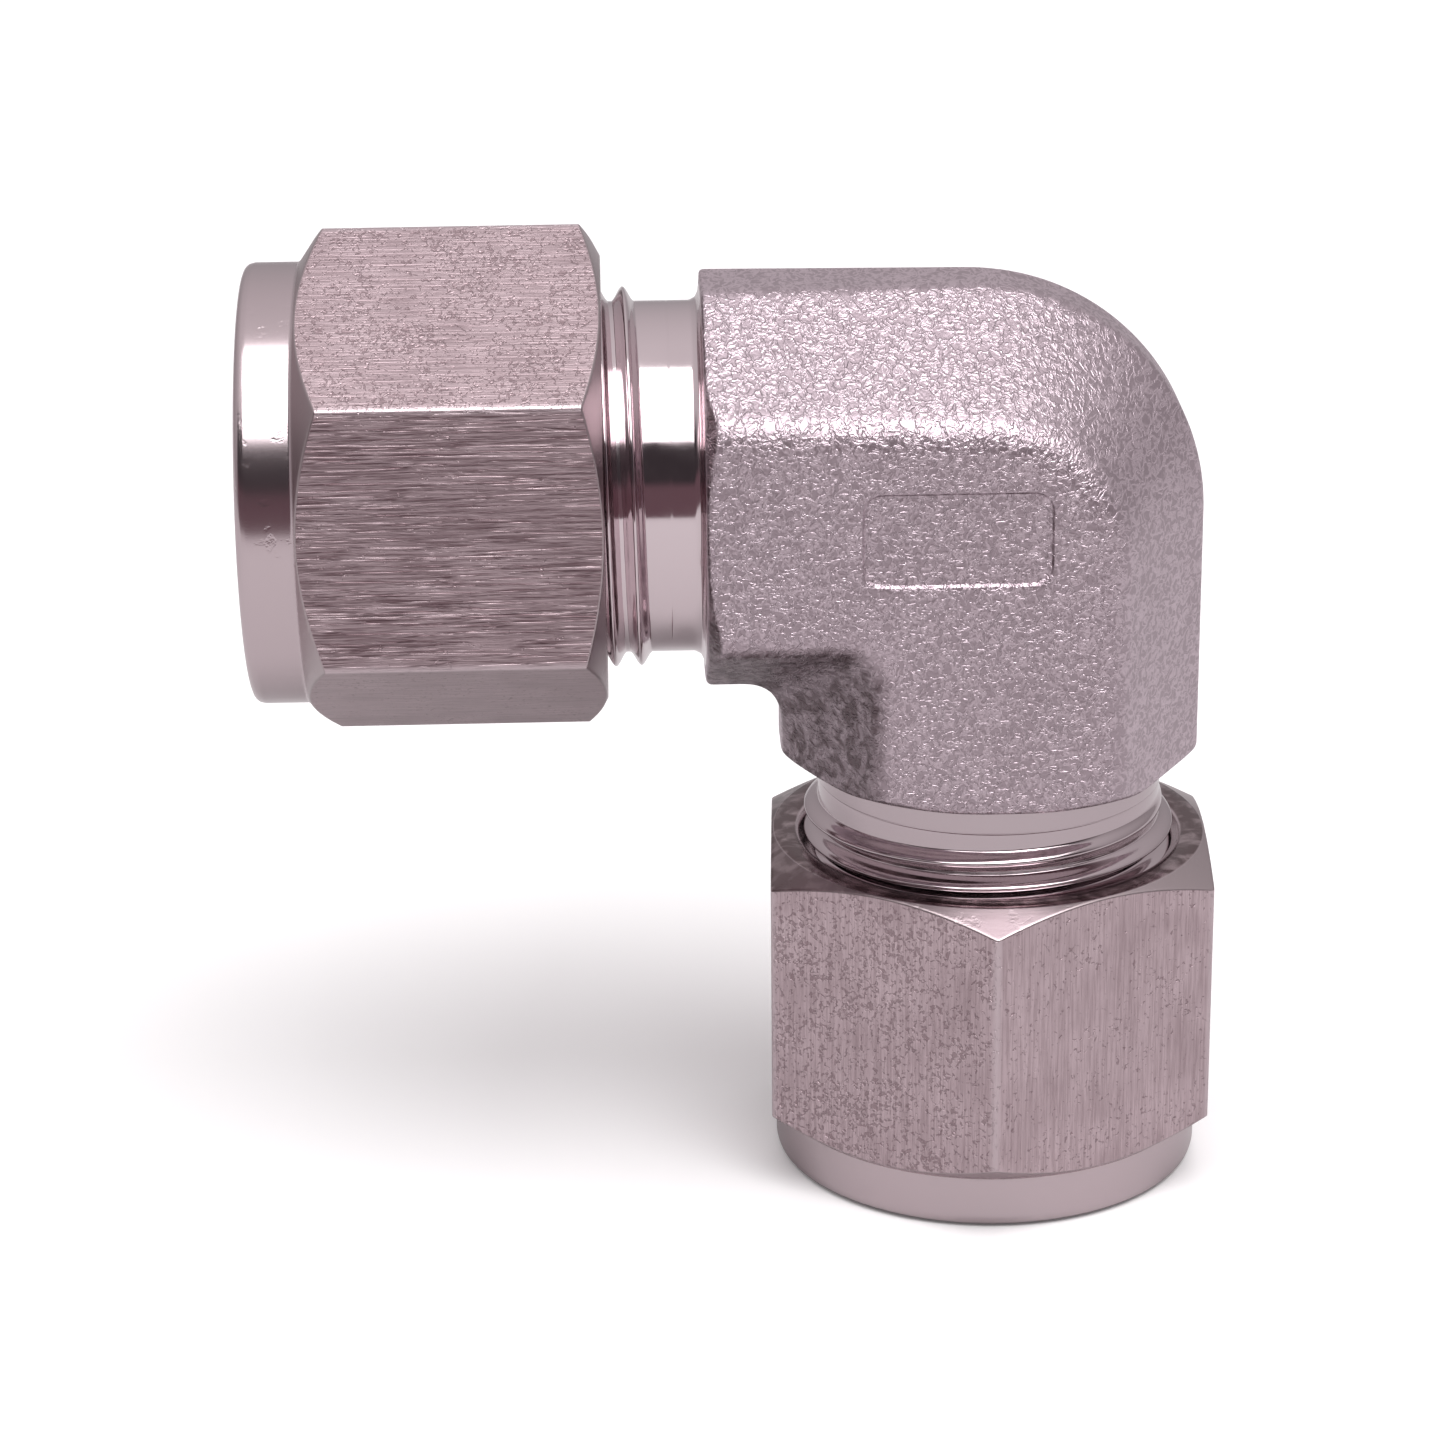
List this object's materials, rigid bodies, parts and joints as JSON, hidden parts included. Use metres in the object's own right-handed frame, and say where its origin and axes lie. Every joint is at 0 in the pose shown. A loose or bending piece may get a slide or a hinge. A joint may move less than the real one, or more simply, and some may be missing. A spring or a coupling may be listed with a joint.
{
  "type": "compression fitting",
  "caption": "Right-angle union elbow for two tube ends: forged body, a hex nut on each arm, and a front and back ferrule inside each nut.",
  "frame": {"origin": "where the centre lines of the two tubes cross, inside the bend of the elbow", "axes": "+X away from the left arm, +Y from the front wrench flat to the back one, +Z away from the lower arm"},
  "size_m": [0.0482, 0.0256, 0.0493],
  "materials": {
    "forged_steel": "blasted forging skin, with polished turned necks and threads",
    "nut_steel": "cold-drawn bar with axial draw marks, turned collar",
    "ferrule_steel": "fine turned"
  },
  "bodies": {
    "elbow": {"elbow_body": "forged_steel"},
    "left_front_ferrule": {"left_front_ferrule": "ferrule_steel"},
    "left_back_ferrule": {"left_back_ferrule": "ferrule_steel"},
    "left_nut": {"left_nut": "nut_steel"},
    "lower_front_ferrule": {"lower_front_ferrule": "ferrule_steel"},
    "lower_back_ferrule": {"lower_back_ferrule": "ferrule_steel"},
    "lower_nut": {"lower_nut": "nut_steel"}
  },
  "joints": [
    {"name": "left_nut_turn", "type": "hinge", "parent": "left_back_ferrule", "child": "left_nut", "pos_m": [-0.029, 0, 0], "axis": [-1, 0, 0], "range_deg": [-205, 2520]},
    {"name": "left_back_ferrule_slide", "type": "slide", "parent": "elbow", "child": "left_back_ferrule", "axis": [-1, 0, 0], "range_m": [-0.00074, 0.0089]},
    {"name": "left_front_ferrule_slide", "type": "slide", "parent": "elbow", "child": "left_front_ferrule", "axis": [-1, 0, 0], "range_m": [-0.00067, 0.0081]},
    {"name": "lower_nut_turn", "type": "hinge", "parent": "lower_back_ferrule", "child": "lower_nut", "pos_m": [0, 0, -0.029], "axis": [0, 0, -1], "range_deg": [-130, 2520]},
    {"name": "lower_back_ferrule_slide", "type": "slide", "parent": "elbow", "child": "lower_back_ferrule", "axis": [0, 0, -1], "range_m": [-0.00047, 0.0089]},
    {"name": "lower_front_ferrule_slide", "type": "slide", "parent": "elbow", "child": "lower_front_ferrule", "axis": [0, 0, -1], "range_m": [-0.00043, 0.0081]}
  ],
  "couplings": [
    {"joint": "left_back_ferrule_slide", "follows": "left_nut_turn", "m_per_rad": 0.00020213},
    {"joint": "left_front_ferrule_slide", "follows": "left_nut_turn", "m_per_rad": 0.00018191},
    {"joint": "lower_back_ferrule_slide", "follows": "lower_nut_turn", "m_per_rad": 0.00020213},
    {"joint": "lower_front_ferrule_slide", "follows": "lower_nut_turn", "m_per_rad": 0.00018191}
  ]
}
